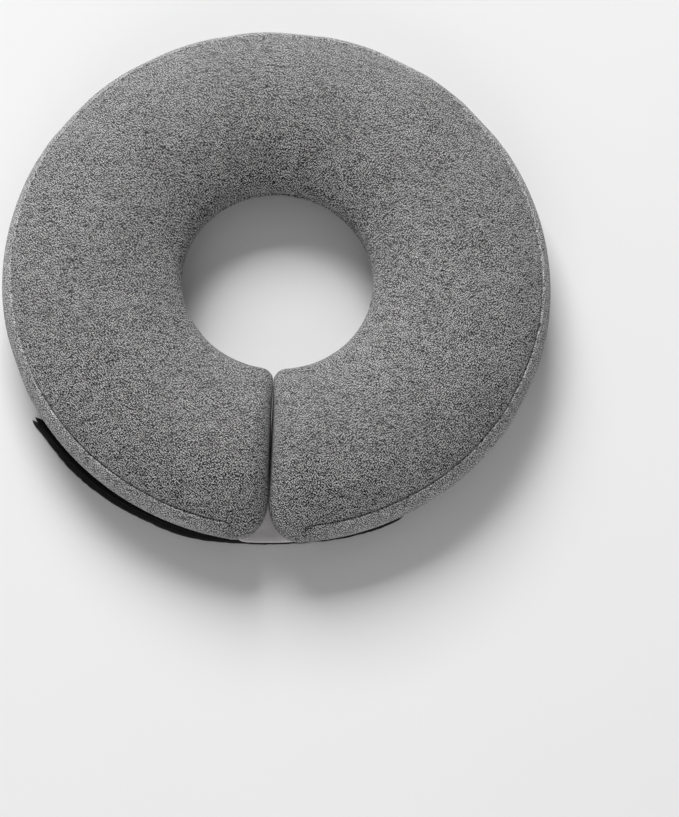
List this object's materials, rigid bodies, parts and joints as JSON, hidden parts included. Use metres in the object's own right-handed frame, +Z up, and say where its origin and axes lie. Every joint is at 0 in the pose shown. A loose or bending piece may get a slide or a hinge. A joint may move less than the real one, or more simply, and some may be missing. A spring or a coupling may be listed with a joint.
{
  "type": "inflatable recovery collar",
  "caption": "Flat padded cloth ring for a pet's neck, slit at one side, with a rim gusset and a hook-and-loop flap that closes the slit from behind.",
  "frame": {"origin": "on the neck axis, level with the ground that the ring lies on", "axes": "+Z up along the neck axis, out of the front face; -Y towards the slit between the ring's two ends; +X completes the right-handed frame"},
  "size_m": [0.2996, 0.2988, 0.048],
  "materials": {
    "heather_face": "dark grey heather cloth, matte",
    "heather_gusset": "lighter grey heather cloth, matte",
    "black_pile": "black hook-and-loop pile, matte",
    "pale_facing": "light warm grey brushed cloth",
    "valve_plastic": "soft pale plastic"
  },
  "bodies": {
    "root": {"front_panel": "heather_face", "rim_gusset": "heather_gusset", "back_panel": "heather_face", "closure_flap": "black_pile", "loop_strip": "black_pile", "flap_facing": "pale_facing", "air_valve": "valve_plastic"}
  },
  "joints": []
}
